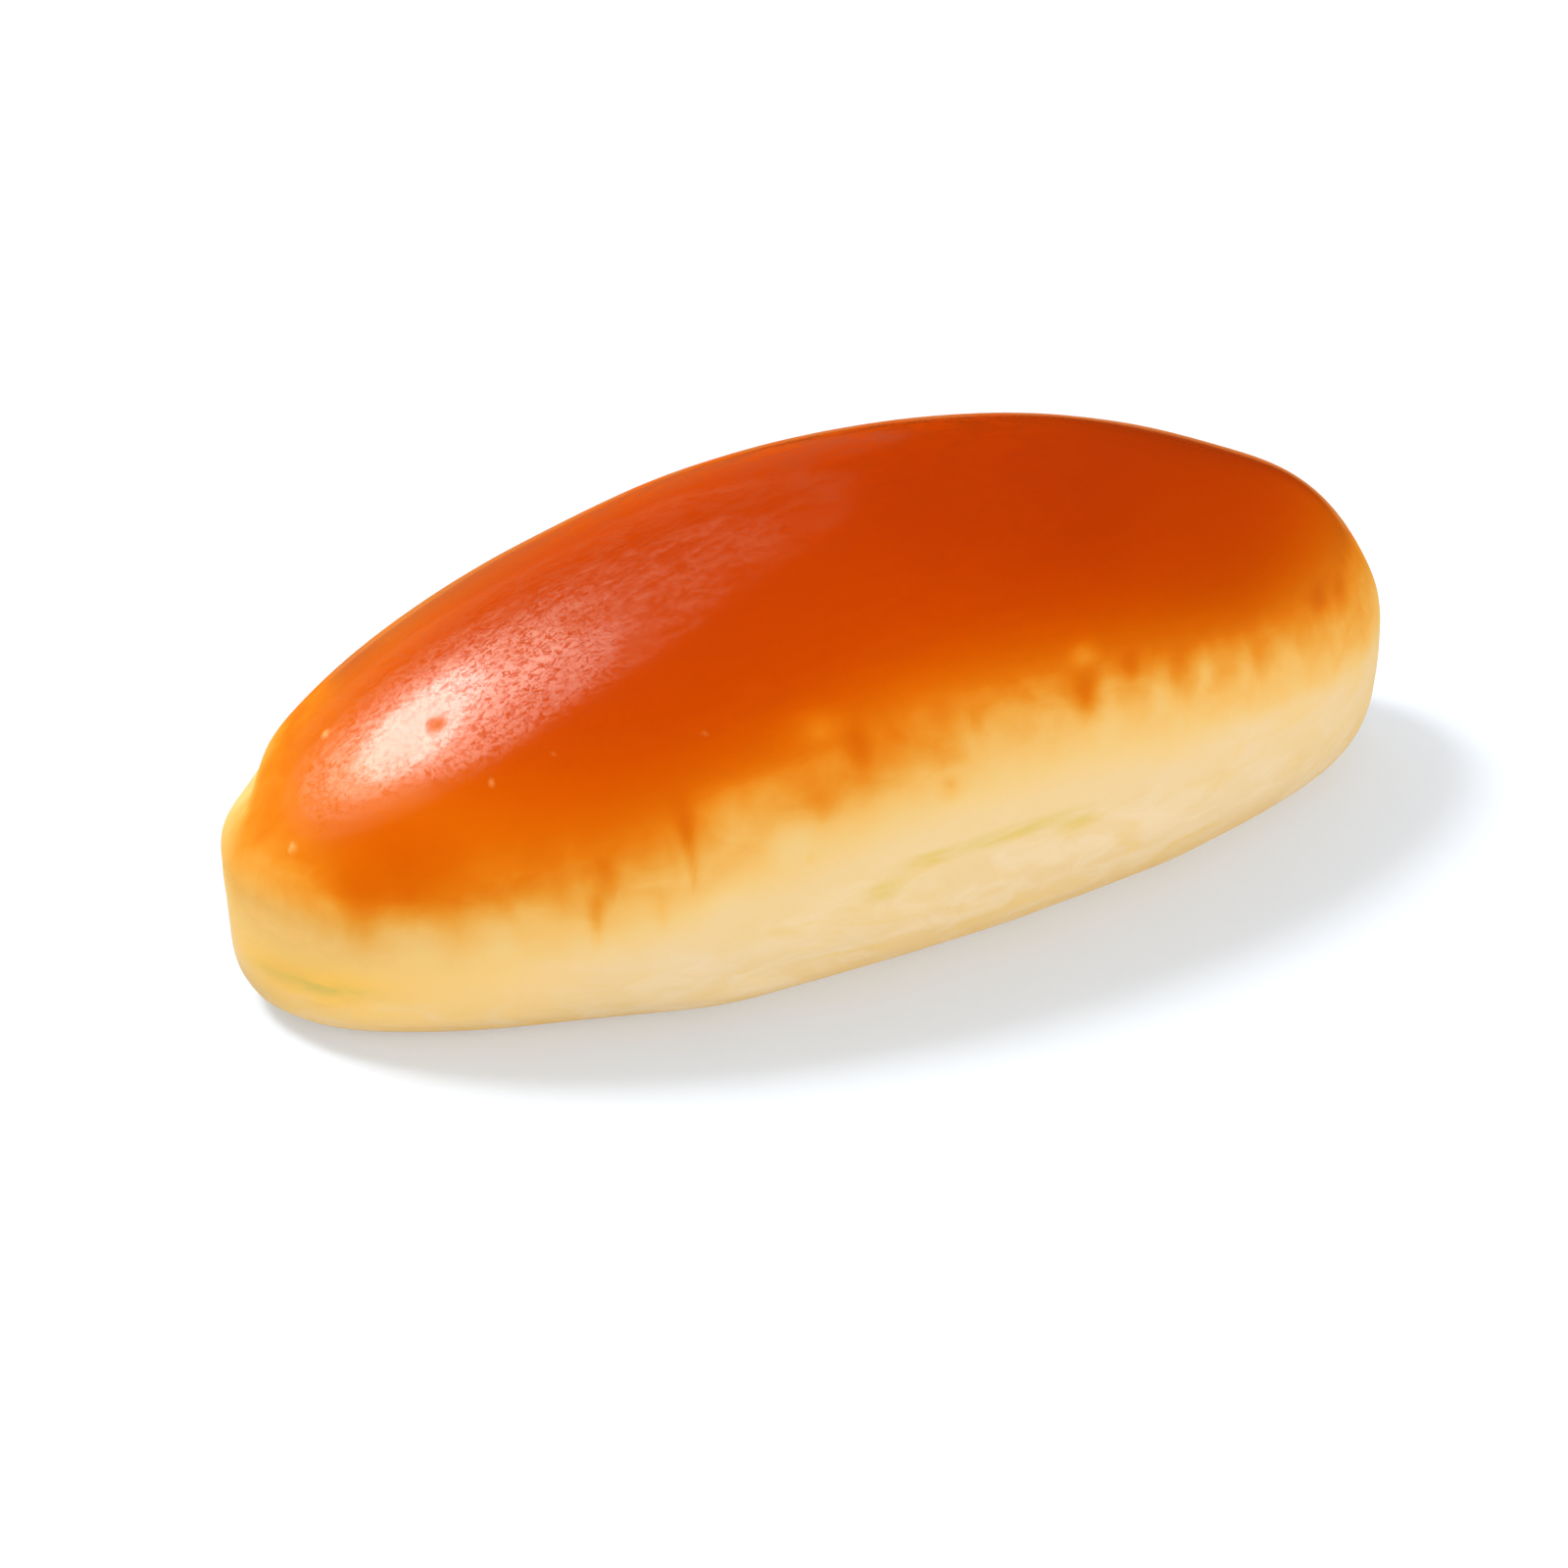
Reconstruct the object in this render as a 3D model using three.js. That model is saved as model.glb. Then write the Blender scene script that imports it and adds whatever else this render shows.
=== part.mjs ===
// A soft baked roll: one long loaf with a browned, glazed top and a pale side, resting on its flat base.
// Millimetres, +Z up. The origin is the middle of the base and +X runs along the loaf to its blunter end.
import * as THREE from 'three';

// Driving dimensions of the finished loaf.
const LENGTH = 160;
const WIDTH = 73.5;
const HEIGHT = 55;

// Level at which the loaf is widest, and how far its round belly would run on below the tray it was baked on.
const WAIST = 0.342 * HEIGHT;
const SINK = 2;

// Roundness of each outline, as the power of its superellipse: 2 is an ellipse and more is boxier.
const PLAN_POWER = 1.94;
const CREST_POWER = 1.8;
const BELLY_POWER = 6.8;
const DOME_POWER = 2;
const FLANK_POWER = 2.9;

// How the loaf differs from one end to the other: its waist narrows towards +X and its crest rises.
const WIDTH_TAPER = -0.064;
const CREST_RISE = 0.135;

// Cells of the starting box along the length, across the width and up the side.
const CELLS_ALONG = 48;
const CELLS_ACROSS = 24;
const CELLS_UP = 22;

// Search for the skin along a ray, in shares of the loaf's half sizes, and the step for reading its slope.
const FURTHEST = 2.2;
const HALVINGS = 40;
const PROBE = 0.01;

// Keeps an outline's half width above nothing at the very tip.
const SLIVER = 1e-12;

// Uneven places left by shaping the dough: where each one is, how far it reaches and how far it stands out.
const SWELLS = {
  baseKnee: { place: [-32, -30, 5], reach: [13, 12, 7], height: 0.8 },
  baseHollow: { place: [12, -32, 7], reach: [22, 12, 7], height: -0.4 },
  nearHollow: { place: [-45, -26, 5], reach: [13, 10, 7], height: -0.5 },
  nearHeel: { place: [-74, -14, 8], reach: [10, 12, 9], height: 0.7 },
  farHeel: { place: [66, -17, 6], reach: [14, 10, 8], height: 0.35 },
  farShoulder: { place: [69, 3, 35], reach: [8, 14, 7], height: 0.7 },
  farCheek: { place: [76, 4, 26], reach: [7, 12, 6], height: -0.6 },
  backDip: { place: [54, 8, 45], reach: [12, 14, 10], height: -0.35 },
  backRise: { place: [-14, 16, 49], reach: [10, 14, 12], height: 0.35 },
  endButton: { place: [-77.5, 9, 20], reach: [5, 9, 5], height: 0.35 },
  endNotch: { place: [-73.5, 13, 24.9], reach: [6, 10, 2.6], height: -1.7 },
};

// Folds in the pale side: each is a furrow that arches up from its level at both ends.
const FOLDS = [
  { from: -23, to: 38, level: 16.9, arch: 2.2, side: [0, -1], half: 2.1, depth: 0.6 },
  { from: -42, to: -10, level: 8.6, arch: 1, side: [0, -1], half: 2, depth: 0.45 },
  { from: -79.5, to: -65, level: 9, arch: 1.4, side: [-0.6, -0.8], half: 1.9, depth: 0.6 },
];

// Lip under each furrow: its height as a share of the furrow's depth, and how many half widths below it lies.
const LIP_SHARE = 0.6;
const LIP_BELOW = 2;

// Height over which the relief fades in above the flat base.
const BASE_FADE = 3;

// Outline of a superellipse of half size 1 at the share s of its half length.
function outline(s, power) {
  return Math.pow(Math.max(1 - Math.pow(Math.abs(s), power), SLIVER), 1 / power);
}

// Below 1 inside the loaf and above 1 outside it.
function gauge(x, y, z) {
  const s = (2 * x) / LENGTH;
  if (Math.abs(s) >= 1) {
    return FURTHEST;
  }
  const halfWidth = (WIDTH / 2) * outline(s, PLAN_POWER) * (1 + WIDTH_TAPER * s);
  const isDome = z >= WAIST;
  const power = isDome ? DOME_POWER : FLANK_POWER;
  const rise = (HEIGHT - WAIST) * outline(s, CREST_POWER) * (1 + CREST_RISE * s);
  const drop = (WAIST + SINK) * outline(s, BELLY_POWER);
  const reach = isDome ? rise : drop;
  return Math.pow(Math.abs(y) / halfWidth, power) + Math.pow(Math.abs(z - WAIST) / reach, power);
}

// Point where a ray from the middle of the waist leaves the loaf.
function skinPoint(direction) {
  const ray = direction.clone().multiply(new THREE.Vector3(LENGTH / 2, WIDTH / 2, HEIGHT / 2));
  let inside = 0;
  let outside = FURTHEST;
  for (let step = 0; step < HALVINGS; step += 1) {
    const middle = (inside + outside) / 2;
    if (gauge(ray.x * middle, ray.y * middle, WAIST + ray.z * middle) < 1) {
      inside = middle;
    } else {
      outside = middle;
    }
  }
  return new THREE.Vector3(0, 0, WAIST).addScaledVector(ray, inside);
}

// Direction in which the skin faces at a point, from the slope of the gauge.
function facing(point) {
  const { x, y, z } = point;
  const inner = Math.sign(x) * Math.min(Math.abs(x), LENGTH / 2 - 2 * PROBE);
  return new THREE.Vector3(
    gauge(inner + PROBE, y, z) - gauge(inner - PROBE, y, z),
    gauge(inner, y + PROBE, z) - gauge(inner, y - PROBE, z),
    gauge(inner, y, z + PROBE) - gauge(inner, y, z - PROBE),
  ).normalize();
}

// Smooth step from 0 to 1 as value goes from 0 to span.
function ease(value, span) {
  return THREE.MathUtils.smoothstep(value, 0, span);
}

// How far a rounded swell or hollow lifts the skin at a point.
function swellHeight(point, { place, reach, height }) {
  const x = (point.x - place[0]) / reach[0];
  const y = (point.y - place[1]) / reach[1];
  const z = (point.z - place[2]) / reach[2];
  return height * Math.exp(-(x * x + y * y + z * z));
}

// How far a fold lowers the skin at a point, or lifts it at the lip.
function foldHeight(point, normal, { from, to, level, arch, side, half, depth }) {
  const along = (point.x - from) / (to - from);
  const turned = normal.x * side[0] + normal.y * side[1];
  if (along <= 0 || along >= 1 || turned <= 0) {
    return 0;
  }
  const middleness = Math.sin(Math.PI * along);
  const above = (point.z - level - arch * middleness) / half;
  const aboveLip = above + LIP_BELOW;
  const furrow = Math.exp(-above * above);
  const lip = LIP_SHARE * Math.exp(-aboveLip * aboveLip);
  return depth * middleness * ease(turned, 1) * (lip - furrow);
}

// Moves a point of the smooth loaf out or in by the relief there.
function relieved(point) {
  const normal = facing(point);
  let height = 0;
  for (const swell of Object.values(SWELLS)) {
    height += swellHeight(point, swell);
  }
  for (const fold of FOLDS) {
    height += foldHeight(point, normal, fold);
  }
  return point.addScaledVector(normal, height * ease(point.z, BASE_FADE));
}

// Blows a box grid up to the loaf's skin and flattens it where it rests.
function loafGeometry() {
  const geometry = new THREE.BoxGeometry(2, 2, 2, CELLS_ALONG, CELLS_ACROSS, CELLS_UP);
  geometry.deleteAttribute('normal');
  geometry.deleteAttribute('uv');
  const positions = geometry.getAttribute('position');
  const direction = new THREE.Vector3();
  for (let index = 0; index < positions.count; index += 1) {
    direction.fromBufferAttribute(positions, index);
    const even = direction.toArray().map((part) => Math.tan((part * Math.PI) / 4));
    const point = relieved(skinPoint(direction.fromArray(even).normalize()));
    positions.setXYZ(index, point.x, point.y, Math.max(point.z, 0));
  }
  return geometry;
}

// Stretches the loaf by less than one in a hundred, so that its box has exactly the driving dimensions.
function fitToSize(geometry) {
  geometry.computeBoundingBox();
  const middle = geometry.boundingBox.getCenter(new THREE.Vector3());
  const size = geometry.boundingBox.getSize(new THREE.Vector3());
  geometry.translate(-middle.x, -middle.y, 0);
  geometry.scale(LENGTH / size.x, WIDTH / size.y, HEIGHT / size.z);
  geometry.computeVertexNormals();
  return geometry;
}

const crust = new THREE.MeshStandardMaterial({ color: '#d0581b', roughness: 0.38, metalness: 0 });
const loaf = new THREE.Mesh(fitToSize(loafGeometry()), crust);
loaf.name = 'bread_roll';

const breadRoll = new THREE.Group();
breadRoll.add(loaf);

export default breadRoll;
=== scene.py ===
"""Looks of a long soft bread roll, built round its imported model.

A glazed, browned top drips into a cream side. The skin is worked out in millimetres in the roll's own frame,
with +Z up and +X along the roll, and scaled to metres.
"""

import logging
from dataclasses import dataclass
from enum import Enum
from math import cos, pi, radians, sin

import bpy
import numpy as np
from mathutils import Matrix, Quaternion, Vector


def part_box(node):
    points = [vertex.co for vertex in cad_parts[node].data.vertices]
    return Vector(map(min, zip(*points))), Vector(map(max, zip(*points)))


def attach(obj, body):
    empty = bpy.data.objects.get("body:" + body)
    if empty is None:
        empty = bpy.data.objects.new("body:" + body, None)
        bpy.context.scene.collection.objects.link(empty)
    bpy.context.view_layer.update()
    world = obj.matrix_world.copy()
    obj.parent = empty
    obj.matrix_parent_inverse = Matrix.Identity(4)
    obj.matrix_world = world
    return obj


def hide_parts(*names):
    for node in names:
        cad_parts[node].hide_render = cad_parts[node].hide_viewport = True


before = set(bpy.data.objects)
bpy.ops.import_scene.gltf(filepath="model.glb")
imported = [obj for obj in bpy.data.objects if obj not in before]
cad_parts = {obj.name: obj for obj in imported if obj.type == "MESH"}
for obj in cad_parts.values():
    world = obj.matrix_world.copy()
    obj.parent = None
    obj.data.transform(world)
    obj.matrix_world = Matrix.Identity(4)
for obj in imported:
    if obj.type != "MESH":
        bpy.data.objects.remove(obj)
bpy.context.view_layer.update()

log = logging.getLogger("bread_roll")

NODE = "bread_roll"
BODY = "root"
MM = 0.001
SEED = 41

Pair = tuple[float, float]
Triple = tuple[float, float, float]
Colour = tuple[int, int, int]
Array = np.ndarray
Socket = bpy.types.NodeSocket
Value = Socket | float | tuple[float, ...]


class Layer(Enum):
    """Values that the skin carries at each of its vertices, for its finish to read."""

    BAKE = "bake"
    GLAZE = "glaze"
    WRINKLE = "wrinkle"
    STREAK = "streak"
    HAZE = "haze"
    # Yellow-green tint along the folds, partly painted shade in their furrows.
    OLIVE_AND_FOLD_SHADE = "olive"
    ROSY = "rosy"
    GOLD = "gold"
    # Paler tint of the blisters, partly a painted glint on them.
    BLISTER_AND_GLINT = "blister"
    PIT = "pit"
    UNDERSIDE = "underside"


class Rays(Enum):
    """What a lamp lights: only matt colour, or only the shine."""

    MATT = (True, False)
    SHINE = (False, True)


def smooth_step(value: Array, start: float, end: float) -> Array:
    """Eases values from 0 at the start to 1 at the end, which may be the lower of the two."""
    share = np.clip((value - start) / (end - start), 0, 1)
    return share * share * (3 - 2 * share)


def linear(red: int, green: int, blue: int) -> tuple[float, float, float, float]:
    """Turns a colour as a screen shows it into the light values that a shader takes.

    Args:
        red: Red, from 0 to 255.
        green: Green, from 0 to 255.
        blue: Blue, from 0 to 255.

    Returns:
        Red, green, blue and full opacity, from 0 to 1.
    """
    shares = [channel / 255 for channel in (red, green, blue)]
    light = [share / 12.92 if share <= 0.04045 else ((share + 0.055) / 1.055) ** 2.4 for share in shares]
    return (*light, 1.0)


def direction(azimuth: float, elevation: float) -> Vector:
    """Unit direction away from the roll, by degrees from +Y towards +X and degrees above the table."""
    turn, tilt = radians(azimuth), radians(elevation)
    return Vector((sin(turn) * cos(tilt), cos(turn) * cos(tilt), sin(tilt)))


def placed(name: str, data: bpy.types.ID) -> bpy.types.Object:
    """Makes an object and puts it in the scene.

    Args:
        name: Its name.
        data: Its mesh, light or camera.

    Returns:
        The object.
    """
    made = bpy.data.objects.new(name, data)
    bpy.context.scene.collection.objects.link(made)
    return made


@dataclass(frozen=True)
class Swell:
    """A rounded rise or hollow that shaping the dough left, in millimetres."""

    place: Triple
    reach: Triple
    height: float

    def lift(self, points: Array) -> Array:
        """Height that the swell adds at each point."""
        offset = (points - np.array(self.place)) / np.array(self.reach)
        return self.height * np.exp(-(offset**2).sum(axis=1))


@dataclass(frozen=True)
class Fold:
    """A furrow with a lip under it that arches along the pale side, in millimetres."""

    start: float
    end: float
    level: float
    arch: float
    side: Pair
    half: float
    depth: float
    lip_share: float = 0.6
    lip_below: float = 2.0

    def bow(self, points: Array) -> Array:
        """Rises from 0 at the fold's ends to 1 at its middle."""
        along = np.clip((points[:, 0] - self.start) / (self.end - self.start), 0, 1)
        return np.sin(pi * along)

    def strength(self, points: Array, normals: Array) -> Array:
        """Share of its depth that the fold has at each point, and only on its own side of the roll."""
        turned = normals[:, 0] * self.side[0] + normals[:, 1] * self.side[1]
        return self.bow(points) * smooth_step(turned, 0, 1)

    def above(self, points: Array) -> Array:
        """Height above the furrow's floor line, in half widths."""
        return (points[:, 2] - self.level - self.arch * self.bow(points)) / self.half

    def lift(self, points: Array, normals: Array) -> Array:
        """Height that the furrow takes away or its lip adds at each point."""
        above = self.above(points)
        furrow = np.exp(-(above**2))
        lip = self.lip_share * np.exp(-((above + self.lip_below) ** 2))
        return self.depth * self.strength(points, normals) * (lip - furrow)


@dataclass(frozen=True)
class LoafForm:
    """The roll's smooth form: a superellipse loaf on a flat base, in millimetres, as its solid is made."""

    length: float
    width: float
    height: float
    waist_share: float = 0.342
    sink: float = 2.0
    plan_power: float = 1.94
    crest_power: float = 1.8
    belly_power: float = 6.8
    dome_power: float = 2.0
    flank_power: float = 2.9
    width_taper: float = -0.064
    crest_rise: float = 0.135
    base_fade: float = 3.0
    thinnest: float = 1e-12
    furthest: float = 2.2
    halvings: int = 40
    probe: float = 0.01
    swells: tuple[Swell, ...] = (
        Swell((-32, -30, 5), (13, 12, 7), 0.8),
        Swell((12, -32, 7), (22, 12, 7), -0.4),
        Swell((-45, -26, 5), (13, 10, 7), -0.5),
        Swell((-74, -14, 8), (10, 12, 9), 0.7),
        Swell((66, -17, 6), (14, 10, 8), 0.35),
        Swell((69, 3, 35), (8, 14, 7), 0.7),
        Swell((76, 4, 26), (7, 12, 6), -0.6),
        Swell((54, 8, 45), (12, 14, 10), -0.35),
        Swell((-14, 16, 49), (10, 14, 12), 0.35),
        Swell((-77.5, 9, 20), (5, 9, 5), 0.35),
        Swell((-73.5, 13, 24.9), (6, 10, 2.6), -1.7),
    )
    folds: tuple[Fold, ...] = (
        Fold(-23, 38, 16.9, 2.2, (0, -1), 2.1, 0.6),
        Fold(-42, -10, 8.6, 1.0, (0, -1), 2.0, 0.45),
        Fold(-79.5, -65, 9.0, 1.4, (-0.6, -0.8), 1.9, 0.6),
    )

    @property
    def waist(self) -> float:
        """Level at which the roll is widest."""
        return self.waist_share * self.height

    def outline(self, station: Array, power: float) -> Array:
        """Half size of a superellipse at each share of its half length."""
        return np.maximum(1 - np.abs(station) ** power, self.thinnest) ** (1 / power)

    def gauge(self, points: Array) -> Array:
        """Measures how far out points lie.

        Args:
            points: The points, one a row.

        Returns:
            A value for each point, below 1 inside the roll and above 1 outside it.
        """
        station = np.clip(2 * points[:, 0] / self.length, -1, 1)
        side = np.abs(points[:, 1])
        off = points[:, 2] - self.waist
        taper = 1 + self.width_taper * station
        lean = 1 + self.crest_rise * station
        half_width = self.width / 2 * self.outline(station, self.plan_power) * taper
        rise = (self.height - self.waist) * self.outline(station, self.crest_power) * lean
        drop = (self.waist + self.sink) * self.outline(station, self.belly_power)
        power = np.where(off >= 0, self.dome_power, self.flank_power)
        reach = np.where(off >= 0, rise, drop)
        value = (side / half_width) ** power + (np.abs(off) / reach) ** power
        return np.where(np.abs(station) < 1, value, self.furthest)

    def skin(self, directions: Array) -> Array:
        """Finds where rays from the middle of the waist leave the roll.

        Args:
            directions: Unit directions, one a row.

        Returns:
            The points on the smooth skin.
        """
        rays = directions * np.array([self.length, self.width, self.height]) / 2
        middle = np.array([0, 0, self.waist])
        inside = np.zeros(len(rays))
        outside = np.full(len(rays), self.furthest)
        for _ in range(self.halvings):
            halfway = (inside + outside) / 2
            is_inside = self.gauge(middle + rays * halfway[:, None]) < 1
            inside = np.where(is_inside, halfway, inside)
            outside = np.where(is_inside, outside, halfway)
        return middle + rays * inside[:, None]

    def facing(self, points: Array) -> Array:
        """Finds the direction in which the skin faces.

        Args:
            points: Points on the smooth skin.

        Returns:
            The unit normals, one a row.
        """
        limit = self.length / 2 - 2 * self.probe
        inner = points.copy()
        inner[:, 0] = np.clip(inner[:, 0], -limit, limit)
        slopes = []
        for axis in range(3):
            step = np.zeros(3)
            step[axis] = self.probe
            slopes.append(self.gauge(inner + step) - self.gauge(inner - step))
        normals = np.stack(slopes, axis=1)
        return normals / np.linalg.norm(normals, axis=1)[:, None]

    def relief(self, points: Array, normals: Array) -> Array:
        """Height of the swells and folds at each point, fading out at the base."""
        lifts = [swell.lift(points) for swell in self.swells]
        lifts += [fold.lift(points, normals) for fold in self.folds]
        return sum(lifts) * self.above_base(points)

    def above_base(self, points: Array) -> Array:
        """Share of the relief that each point's height above the base lets in."""
        return smooth_step(points[:, 2], 0, self.base_fade)

    def fitted(self, points: Array) -> Array:
        """Flattens the base and stretches the roll a little, so that its box has exactly its sizes."""
        flat = points.copy()
        flat[:, 2] = np.maximum(flat[:, 2], 0)
        low = flat.min(axis=0)
        high = flat.max(axis=0)
        middle = np.array([(low[0] + high[0]) / 2, (low[1] + high[1]) / 2, 0])
        return (flat - middle) * np.array([self.length, self.width, self.height]) / (high - low)


@dataclass(frozen=True)
class SoftNoise:
    """Smooth random heights in space, the same on each run."""

    seed: int
    cells: int = 32

    def at(self, points: Array, wave: Triple) -> Array:
        """Reads the noise at points.

        Args:
            points: The points, one a row, in millimetres.
            wave: The size of a lump along each axis, in millimetres.

        Returns:
            A value from -1 to 1 for each point.
        """
        lattice = np.random.default_rng(self.seed).uniform(-1, 1, (self.cells,) * 3)
        scaled = points / np.array(wave) + self.cells / 2
        corner = np.floor(scaled).astype(int)
        share = smooth_step(scaled - corner, 0, 1)
        total = np.zeros(len(points))
        for index in range(8):
            bits = np.array([index & 1, index >> 1 & 1, index >> 2 & 1])
            weight = np.where(bits, share, 1 - share).prod(axis=1)
            x, y, z = ((corner + bits) % self.cells).T
            total += weight * lattice[x, y, z]
        return total


@dataclass(frozen=True)
class Pock:
    """A small round pit or raised bump in the crust, in millimetres: a negative height is a pit."""

    place: Triple
    radius: float
    height: float
    full_height: float = 0.12

    @property
    def tint(self) -> float:
        """Share of a raised bump's paler tint, partly a painted glint, that it has by its height."""
        return min(self.height / self.full_height, 1)

    def share(self, points: Array) -> Array:
        """How much of the pock each point has, from 0 to 1."""
        distance = np.linalg.norm(points - np.array(self.place), axis=1) / self.radius
        return np.exp(-(distance**4))


@dataclass(frozen=True)
class Stain:
    """A place on one side where the browning runs lower or stays back, or where the pale skin has a tint.

    Its middle is at x along the roll and at a level above the base, and sizes are in millimetres. A taper
    narrows its foot to a drip, within limits that are shares of its width. The near side is towards -Y. The
    stain fades out over its edge towards the middle plane, and a wrap lets it run on past that.
    """

    x: float
    level: float
    half_width: float
    half_height: float
    strength: float
    taper: float = 0.0
    side: int = -1
    wrap: float = 0.0
    edge: float = 6.0
    limits: Pair = (0.15, 2.0)

    def at(self, points: Array) -> Array:
        """Strength of the stain at each point."""
        up = (points[:, 2] - self.level) / self.half_height
        width = self.half_width * np.clip(1 + self.taper * up, *self.limits)
        across = (points[:, 0] - self.x) / width
        facing = smooth_step(self.side * points[:, 1], -self.wrap, self.edge)
        return self.strength * np.exp(-(across**2) - np.abs(up) ** 3) * facing


NEAR_STAINS = (
    Stain(-66, 27, 6, 4.5, 2.6, 0.3),
    Stain(-71, 21.5, 2.5, 5, 2.5, 0.4),
    Stain(-46.3, 20.5, 0.9, 3.2, 3.5, 0.3),
    Stain(-44.5, 26, 1.2, 2.6, 1.5, 0.4),
    Stain(-38.6, 21, 1, 2.6, 2.5, 0.3),
    Stain(-34.6, 27, 0.8, 5.5, 2.8, 0.5),
    Stain(-12, 34.2, 2, 4, 3, -0.1),
    Stain(-17.3, 31.2, 3.6, 2.6, 2.8),
    Stain(-7, 33.5, 4, 4.5, 2),
    Stain(-1.3, 29, 1.6, 1.6, 3.5),
    Stain(0, 34.5, 3, 4, 2),
    Stain(-12.5, 29, 3, 2.5, 1.5),
    Stain(19.6, 34.4, 1.9, 2.5, 3.6, 0.3),
    Stain(26.8, 35.6, 1.4, 1.6, 2),
    Stain(34.2, 33.2, 1.8, 1.8, 1.6),
    Stain(60.5, 31, 3, 2, 2.2),
    Stain(65.5, 29.5, 2, 2, 1.7),
    Stain(-20.3, 24.6, 0.6, 0.6, 3),
    Stain(28, 50, 12, 4.5, 4),
    Stain(8, 53, 8, 3, 2.5),
    Stain(20.3, 38.8, 2, 1.2, -2.5),
    Stain(23, 31.5, 1.6, 3, -2),
    Stain(30.5, 31.5, 1.8, 3, -2),
    Stain(38.2, 31.5, 1.6, 2.5, -2.1),
    Stain(45, 29.5, 1.6, 2.5, -1.7),
    Stain(52, 27.5, 2.5, 3, -1.5),
    Stain(-28, 31, 6, 4, -1.5),
    Stain(-22, 27, 2.5, 2.5, -2.5),
    Stain(-30.5, 20, 3, 2.5, -2),
    Stain(-55, 21.5, 4, 2, -1.8),
    Stain(-65.5, 17.5, 2.2, 3, -2.5),
    Stain(-57, 18.5, 2, 2.5, -2.5),
    Stain(-16.5, 39, 3.5, 1.6, -2),
    Stain(66, 36, 14, 9, -3),
    Stain(77, 27, 5, 8, -2.5),
    Stain(-78, 19, 4, 5, -1.2, wrap=8),
    Stain(-78, 25, 5, 4, -0.8, wrap=8),
)

# Yellow-green tint along the folds of the pale side: partly the crust's own colour and partly painted shade
# in the furrows.
OLIVE_AND_FOLD_SHADE_PLACES = (
    Stain(-11, 17.9, 2.4, 1.2, 0.6),
    Stain(-4.5, 20.7, 2.6, 1, 0.7),
    Stain(6.5, 20.8, 10.5, 1.1, 0.75),
    Stain(17, 19, 3.2, 0.9, 0.7),
    Stain(-74, 9.5, 4.5, 1, 0.9),
)

ROSY_PLACES = (
    Stain(-33, 13, 8, 3.5, 0.8),
    Stain(-12, 13.5, 10, 2.5, 0.6),
    Stain(45, 16, 26, 8.5, 1),
    Stain(-28, 7.5, 14, 5, 0.5),
    Stain(-46, 14, 9, 5, 0.8),
    Stain(70, 20, 9, 6, 0.7),
)

GOLD_PLACES = (
    Stain(-76, 14, 8, 9, 0.95, wrap=8),
    Stain(-62, 10, 14, 9, 0.4),
    Stain(20, 1, 70, 3.5, 0.6),
)


@dataclass(frozen=True)
class Browning:
    """How far the skin is baked, as millimetres above the line where orange meets cream.

    The line's levels are shares of the roll's height, and stations are shares of its half length. On the far
    side the line lies higher, most of all at the +X end, and has seeded drips and pale dips.
    """

    crown_level: float = 0.69
    end_level: float = 0.40
    crown_station: float = 0.03
    near_spread: float = 0.56
    far_spread: float = 0.80
    strongest_gain: float = 1.15
    strongest_station: float = 0.25
    gain_spread: float = 1.2
    far_rise: float = 9.0
    far_fade: Pair = (-3.0, 13.0)
    end_rise: float = 0.4
    end_fade: Pair = (0.45, 0.85)
    drips: int = 16
    drip_span: float = 0.9
    drip_places: Pair = (0.2, 0.8)
    drip_falls: Pair = (0.0, 5.0)
    drip_half_widths: Pair = (0.9, 3.2)
    drip_strengths: Pair = (1.5, 4.0)
    drip_share: float = 0.65
    drip_taper: float = 0.3
    drip_extra_height: float = 1.2
    stains: tuple[Stain, ...] = NEAR_STAINS

    def line(self, station: Array, height: float) -> Array:
        """Level of the browning line at each share of the half length."""
        spread = np.where(station < self.crown_station, self.near_spread, self.far_spread)
        fall = 1 - np.exp(-(((station - self.crown_station) / spread) ** 2))
        return height * (self.crown_level - (self.crown_level - self.end_level) * fall)

    def far_stains(self, form: LoafForm) -> list[Stain]:
        """Spreads drips and pale dips along the side that the photo hides.

        Args:
            form: The roll's form.

        Returns:
            Stains on the +Y side, the same on each run.
        """
        draw = np.random.default_rng(SEED)
        places = (np.arange(self.drips) + draw.uniform(*self.drip_places, self.drips)) / self.drips
        stations = places * 2 * self.drip_span - self.drip_span
        falls = draw.uniform(*self.drip_falls, self.drips)
        levels = self.line(stations, form.height) + self.far_rise - falls
        widths = draw.uniform(*self.drip_half_widths, self.drips)
        strengths = draw.uniform(*self.drip_strengths, self.drips)
        strengths = strengths * np.where(draw.random(self.drips) < self.drip_share, 1, -1)
        heights = self.drip_extra_height + widths
        return [
            Stain(station * form.length / 2, level, width, height, strength, self.drip_taper, side=1)
            for station, level, width, height, strength in zip(stations, levels, widths, heights, strengths)
        ]

    def level(self, points: Array, form: LoafForm) -> Array:
        """Works out how baked each point is.

        Args:
            points: Points on the roll's skin.
            form: The roll's form.

        Returns:
            Millimetres above the browning line, stretched where the crown is darker.
        """
        station = 2 * points[:, 0] / form.length
        rise = self.far_rise * (1 + self.end_rise * smooth_step(station, *self.end_fade))
        rise = rise * smooth_step(points[:, 1], *self.far_fade)
        above = points[:, 2] - self.line(station, form.height) - rise
        gain = self.strongest_gain - ((station - self.strongest_station) / self.gain_spread) ** 2
        stains = [stain.at(points) for stain in (*self.stains, *self.far_stains(form))]
        return np.where(above > 0, above * gain, above) + sum(stains)


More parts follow.
